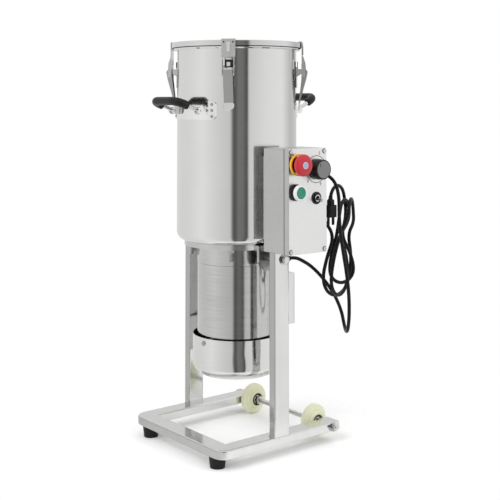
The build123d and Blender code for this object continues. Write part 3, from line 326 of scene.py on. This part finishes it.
lead = cord_curve("motor_cord", LEAD, 0.0035)
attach(lead, "frame")
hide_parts("motor_lead")
curve_length(lead)
supply_points = list(SUPPLY_START)
for turn in TURNS:
    supply_points += turn_points(*turn)
supply_points.append(SUPPLY_END)
supply = cord_curve("supply_cord", supply_points, 0.0035)
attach(supply, "frame")
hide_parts("supply_lead", "supply_hank")
curve_length(supply)
print("cord lengths", curve_length(lead), curve_length(supply))

# ---------------------------------------------------------------- detail pieces
PANEL_X = 226.0
DIGIT_R = 31.5
SIDES = 64


def add_mesh(name, verts, faces, material, body, smooth=True):
    mesh = bpy.data.meshes.new(name)
    mesh.from_pydata([tuple(v) for v in verts], [], faces)
    bm = bmesh.new()
    bm.from_mesh(mesh)
    bmesh.ops.recalc_face_normals(bm, faces=bm.faces)
    bm.to_mesh(mesh)
    bm.free()
    obj = bpy.data.objects.new(name, mesh)
    bpy.context.collection.objects.link(obj)
    if smooth:
        mesh.polygons.foreach_set("use_smooth", [True] * len(mesh.polygons))
        mesh.set_sharp_from_angle(angle=radians(35))
    dress(obj, material)
    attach(obj, body)
    return obj


def lathe(name, origin, axis, outline, material, body, sides=SIDES):
    """Revolve a closed outline of (distance along the axis, radius) points about an axis through origin."""
    axis = Vector(axis).normalized()
    u = axis.orthogonal().normalized()
    v = axis.cross(u)
    verts = []
    for k in range(sides):
        a = 2 * pi * k / sides
        out = u * cos(a) + v * sin(a)
        verts += [at(*(Vector(origin) + axis * d + out * r)) for d, r in outline]
    n = len(outline)
    faces = []
    for k in range(sides):
        k2 = (k + 1) % sides
        faces += [(k * n + i, k * n + (i + 1) % n, k2 * n + (i + 1) % n, k2 * n + i) for i in range(n)]
    return add_mesh(name, verts, faces, material, body)


def flat_ring(name, x, y, z, r_in, r_out, depth, material, body, slot_name):
    """A thin ring that faces +X, with its front edges eased."""
    ease = min(0.3, depth / 3)
    lathe(name, (x, y, z), (1, 0, 0), [(0, r_in), (0, r_out), (depth - ease, r_out), (depth, r_out - ease),
          (depth, r_in + ease), (depth - ease, r_in)], material, body)


def slab(name, centre, size, material, body, turn=0.0, ease=0.3):
    """A small box with eased edges, turned about the vertical."""
    bm = bmesh.new()
    bmesh.ops.create_cube(bm, size=1.0)
    bmesh.ops.scale(bm, vec=Vector(size) / 1000, verts=bm.verts)
    bmesh.ops.bevel(bm, geom=bm.edges[:], offset=ease / 1000, segments=2, affect="EDGES", profile=0.5)
    bmesh.ops.rotate(bm, matrix=Matrix.Rotation(turn, 3, "Z"), verts=bm.verts)
    bmesh.ops.translate(bm, vec=at(*centre), verts=bm.verts)
    mesh = bpy.data.meshes.new(name)
    bm.to_mesh(mesh)
    bm.free()
    obj = bpy.data.objects.new(name, mesh)
    bpy.context.collection.objects.link(obj)
    dress(obj, material)
    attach(obj, body)
    return obj


# control panel
ESTOP = (-36, 574)
KNOB = (19, 563.5)
BUTTON = (-35.5, 521.3)
TOGGLE = (18.5, 508)
flat_ring("estop_yellow_ring", PANEL_X + 8.2, *ESTOP, 17.9, 21.0, 4.6, YELLOW, "frame", "red_plastic")
MUSHROOM = [(15, 8.1), (15, 15), (17, 17.5), (20.5, 20), (23.5, 21), (25.5, 21), (27.6, 20), (29.2, 17.5),
            (30.3, 13.8), (30.9, 9.5), (31, 7.4), (30.5, 7), (30.5, 0.3), (18, 0.3), (18, 8.1)]
cap = lathe("estop_button", (PANEL_X, *ESTOP), (1, 0, 0), MUSHROOM, RED, "estop_cap")
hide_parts("estop_cap")
flat_ring("estop_badge", PANEL_X + 30.5, *ESTOP, 0.3, 6.8, 0.3, BADGE, "estop_cap", "red_plastic")
flat_ring("estop_badge_ring", PANEL_X + 30.8, *ESTOP, 2.6, 3.5, 0.1, BADGE_INK, "estop_cap", "black_plastic")
BEZEL = [(11, 14.75), (12.5, 15.7), (16, 15.7), (17.6, 14.6), (18, 13), (18, 11.6), (17.6, 11.1),
         (17.5, 11.1), (17.5, 14.4), (14, 14.75)]
COLLAR = [(0.05, 14.75), (0.05, 16), (5, 16), (6, 14.75)]
PUSH = [(6, 0.3), (6, 10.6), (18, 10.6), (19, 9.9), (19, 8.4), (18.5, 7.6), (18.4, 0.3)]
lathe("button_bezel", (PANEL_X, *BUTTON), (1, 0, 0), BEZEL, WHITE, "frame")
lathe("button_collar", (PANEL_X, *BUTTON), (1, 0, 0), COLLAR, BLACK, "frame")
green = lathe("green_push", (PANEL_X, *BUTTON), (1, 0, 0), PUSH, GREEN, "green_button")
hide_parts("green_button")
flat_ring("dial_ring", PANEL_X + 0.02, *KNOB, 25.4, 26.6, 0.12, INK, "frame", "black_plastic")
KNOB_PROFILE = [(2.3, 2.2), (2.3, 19.6), (4.5, 20), (20, 19.2), (21.4, 18.4), (21.4, 16.9), (21.1, 16.7),
                (21.1, 0.3), (4, 0.3), (4, 2.2)]
knob = lathe("knob_body", (PANEL_X, *KNOB), (1, 0, 0), KNOB_PROFILE, BLACK, "speed_knob")
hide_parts("speed_knob")
flat_ring("knob_face", PANEL_X + 21.1, *KNOB, 0.3, 16.6, 0.35, GREYFACE, "speed_knob", "black_plastic")
slab("knob_pointer", (PANEL_X + 21.5, KNOB[0] - 9, KNOB[1] + 9), (0.2, 1.1, 6), INK, "speed_knob")
flat_ring("toggle_nut_ring", PANEL_X + 4.0, *TOGGLE, 4.6, 6.6, 0.5, BRIGHT, "frame", "bright_fasteners")
for k, (text, angle) in enumerate((("0", 225), ("2", 150), ("5", 75), ("8", 345), ("9", 290))):
    a = radians(angle)
    data = bpy.data.curves.new("dial_digit_%d" % k, "FONT")
    data.body = text
    data.size = 0.009
    data.extrude = 0.00005
    data.align_x = "CENTER"
    data.align_y = "CENTER"
    letter = bpy.data.objects.new("dial_digit_%d" % k, data)
    letter.location = at(PANEL_X + 0.06, KNOB[0] + DIGIT_R * cos(a), KNOB[1] + DIGIT_R * sin(a))
    letter.rotation_euler = (radians(90), 0, radians(90))
    bpy.context.collection.objects.link(letter)
    data.materials.append(INK)
    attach(letter, "frame")

# dark gasket between the box and its panel
SEAM_SIDES = ((-3, 403.9, 95, 1.2), (-3, 603.1, 95, 1.2), (-51.2, 503.5, 1.2, 198), (45.2, 503.5, 1.2, 198))
for k, (y, z, w, h) in enumerate(SEAM_SIDES):
    slab("panel_gasket_%d" % k, (212.5, y, z), (1.3, w, h), RUBBER, "frame", ease=0.2)
slab("panel_seam", (212.5, -52.0, 503.5), (1.9, 0.12, 199), INK, "frame", ease=0.05)
# grey rings round the panel screws: painted shade of the screw heads
for k, (y, z) in enumerate(((-46, 409), (-46, 598), (40, 409), (40, 598))):
    flat_ring("screw_shade_%d" % k, PANEL_X + 0.02, y, z, 4.0, 5.2, 0.1, GREYFACE, "frame", "gasket")

# latches: window, strap and rounded tip on each
TIP_PROFILE = [(0, 0.2), (0, 9.8), (0.5, 10.4), (2, 10.4), (2.6, 9.8), (2.6, 0.2)]
for corner, angle in (("front_right", -45), ("rear_right", 45), ("rear_left", 135), ("front_left", -135)):
    a = radians(angle)
    out = Vector((cos(a), sin(a), 0))

    def spot(r, z):
        return (out.x * r, out.y * r, z)

    slab("latch_window_" + corner, spot(128.0, 770), (0.6, 17, 15), INK, "vessel", a)
    slab("latch_strap_" + corner, spot(136.5, 768), (1.2, 7, 8), TIP, "lever_" + corner, a)
    lathe("latch_tip_" + corner, spot(130.4, 686), out, TIP_PROFILE, TIP, "lever_" + corner)
    slab("latch_rib_" + corner, spot(139.6, 802), (1.3, 7, 19), TIP, "hook_" + corner, a,
         0.6)
    for side in (-1, 1):
        y = side * 9.2
        place = (out.x * 138.6 - out.y * y, out.y * 138.6 + out.x * y, 812)
        slab("latch_slot_%s_%d" % (corner, side), place, (1.2, 3, 4), INK, "hook_" + corner,
             a, 0.4)
    slab("latch_curl_" + corner, spot(147.2, 757.5), (2.0, 16.5, 3.4), TIP, "lever_" + corner,
         a, 0.9)

# wheels: dark recess and bright collar on the axle
for name, x in (("left_wheel", -101.5), ("right_wheel", 97.0)):
    lathe(name + "_recess", (x + 9.1, 130, 32), (1, 0, 0), [(0, 9.2), (0, 13.3), (0.5, 13.3), (0.5, 9.2)],
          INK, name)
lathe("axle_collar", (-89.9, 130, 32), (1, 0, 0), [(5.4, 5.1), (5.4, 7.6), (6, 8.2), (10.4, 8.2), (11, 7.6),
                                                   (11, 5.1)],
      BRIGHT, "frame")

# weld beads at the feet of the uprights
for name, x in (("weld_left", -143.5), ("weld_right", 143.5)):
    for k, (dx, dy, w, h) in enumerate(((0, -19.2, 17, 1.6), (0, 19.2, 17, 1.6), (-9.2, 0, 1.6, 37),
                                        (9.2, 0, 1.6, 37))):
        if abs(x + dx) + w / 2 < 152.4:
            slab("%s_%d" % (name, k), (x + dx, -5.8 + dy, 40.6), (w, h, 1.5), BRIGHT, "frame",
                 ease=0.6)


def sleeve(name, points, r0, r1):
    """A ribbed strain relief that tapers along the cord from r0 to r1."""
    verts, faces = [], []
    sides = 24
    rings = []
    steps = 8 * (len(points) - 1)
    for i in range(steps + 1):
        f = i / steps * (len(points) - 1)
        j = min(int(f), len(points) - 2)
        p = Vector(points[j]).lerp(Vector(points[j + 1]), f - j)
        rib = 0.35 if i % 4 in (1, 2) else 0.0
        rings.append((p, r0 + (r1 - r0) * i / steps - rib,
                      (Vector(points[j + 1]) - Vector(points[j])).normalized()))
    for p, r, d in rings:
        u = d.orthogonal().normalized()
        v = d.cross(u)
        for k in range(sides):
            turn = 2 * pi * k / sides
            verts.append(at(*(p + (u * cos(turn) + v * sin(turn)) * r)))
    for i in range(len(rings) - 1):
        for k in range(sides):
            k2 = (k + 1) % sides
            faces.append((i * sides + k, i * sides + k2, (i + 1) * sides + k2, (i + 1) * sides + k))
    faces.append(tuple(range(sides)))
    faces.append(tuple(range((len(rings) - 1) * sides, len(rings) * sides)))
    return add_mesh(name, verts, faces, RUBBER, "frame")


sleeve("lead_relief", [(176, 53, 548), (177, 63.8, 549.4), (179.2, 73.6, 549.7)], 6.2, 4.4)
sleeve("supply_relief", [(160, 53, 470), (160.9, 63.9, 468.6), (162.7, 73.3, 466.1)], 6.2, 4.4)
sleeve("plug_relief", [(184, 96.6, 486), (183.9, 95.2, 493.8), (182.8, 97.3, 503.4)], 6.0, 4.2)

# ---------------------------------------------------------------- studio
scene = bpy.context.scene
scene.view_settings.view_transform = "Standard"

bpy.ops.mesh.primitive_plane_add(size=4, location=(0, 0, -0.0005))
floor = bpy.context.object
floor.name = "studio_floor"
m, t, b = new_material("floor_white")
b.inputs["Base Color"].default_value = (0.97, 0.97, 0.97, 1)
b.inputs["Roughness"].default_value = 0.9
b.inputs["Specular IOR Level"].default_value = 0.1
tc = node(t, "ShaderNodeTexCoord")
distance = node(t, "ShaderNodeVectorMath", operation="LENGTH")
t.links.new(tc.outputs["Object"], distance.inputs[0])
fade = node(t, "ShaderNodeMapRange", interpolation_type="SMOOTHSTEP")
fade.inputs["From Min"].default_value = 0.20
fade.inputs["From Max"].default_value = 0.40
t.links.new(distance.outputs["Value"], fade.inputs["Value"])
clear = node(t, "ShaderNodeBsdfTransparent")
blended = node(t, "ShaderNodeMixShader")
t.links.new(fade.outputs[0], blended.inputs[0])
t.links.new(b.outputs[0], blended.inputs[1])
t.links.new(clear.outputs[0], blended.inputs[2])
t.links.new(blended.outputs[0], t.nodes["Material Output"].inputs["Surface"])
dress(floor, m)

world = bpy.data.worlds.new("studio")
scene.world = world
world.use_nodes = True
wt = world.node_tree
bg = wt.nodes["Background"]
bg.inputs["Strength"].default_value = 1.0
tc = node(wt, "ShaderNodeTexCoord")
sep = node(wt, "ShaderNodeSeparateXYZ")
wt.links.new(tc.outputs["Generated"], sep.inputs[0])
ang = node(wt, "ShaderNodeMath", operation="ARCTAN2")
wt.links.new(sep.outputs["Y"], ang.inputs[0])
wt.links.new(sep.outputs["X"], ang.inputs[1])
rng = node(wt, "ShaderNodeMapRange")
rng.inputs["From Min"].default_value = -pi
rng.inputs["From Max"].default_value = pi
wt.links.new(ang.outputs[0], rng.inputs["Value"])
ramp = node(wt, "ShaderNodeValToRGB")
wt.links.new(rng.outputs[0], ramp.inputs["Fac"])
# brightness round the horizon, in degrees from +X
BANDS = [(-180, 0.85), (-140, 0.9), (-107, 1.0), (-66, 0.80), (-50, 0.74), (-46, 0.2), (-42, 0.09),
         (-35, 0.22),
         (-26, 0.2), (-18, 0.07), (-15, 0.8), (20, 0.95), (58, 1.0), (86, 0.66), (105, 0.7), (180, 0.85)]
while len(ramp.color_ramp.elements) < len(BANDS):
    ramp.color_ramp.elements.new(0.5)
for e, (deg, v) in zip(ramp.color_ramp.elements, BANDS):
    e.position = (deg + 180) / 360
for e, (deg, v) in zip(ramp.color_ramp.elements, BANDS):
    e.color = (v, v, v, 1)
up = node(wt, "ShaderNodeMapRange")
up.inputs["From Min"].default_value = 0.45
up.inputs["From Max"].default_value = 0.8
wt.links.new(sep.outputs["Z"], up.inputs["Value"])
mix = node(wt, "ShaderNodeMix", data_type="RGBA")
wt.links.new(up.outputs[0], mix.inputs[0])
wt.links.new(ramp.outputs[0], mix.inputs[6])
mix.inputs[7].default_value = (1, 1, 1, 1)
path = node(wt, "ShaderNodeLightPath")
seen = node(wt, "ShaderNodeMix", data_type="RGBA")
wt.links.new(path.outputs["Is Camera Ray"], seen.inputs[0])
wt.links.new(mix.outputs[2], seen.inputs[6])
seen.inputs[7].default_value = (1, 1, 1, 1)
wt.links.new(seen.outputs[2], bg.inputs["Color"])


def area(name, location, target, size, power):
    data = bpy.data.lights.new(name, "AREA")
    data.shape = "RECTANGLE"
    data.size, data.size_y = size
    data.energy = power
    obj = bpy.data.objects.new(name, data)
    obj.location = location
    obj.rotation_euler = (Vector(target) - Vector(location)).to_track_quat("-Z", "Y").to_euler()
    obj.visible_glossy = False
    bpy.context.collection.objects.link(obj)


area("key", (0.6, -2.4, 2.2), (0, 0, 0.4), (1.6, 1.6), 40)
area("fill", (2.4, 0.8, 1.6), (0, 0, 0.4), (1.4, 1.8), 18)

camera_data = bpy.data.cameras.new("camera")
camera_data.lens = 72.96
camera_data.sensor_width = 36
camera_data.shift_y = -0.3833
camera = bpy.data.objects.new("camera", camera_data)
camera.location = (1.6362, -1.3134, 0.6949)
camera.rotation_euler = (radians(92.42), 0, radians(51.257))
bpy.context.collection.objects.link(camera)
scene.camera = camera
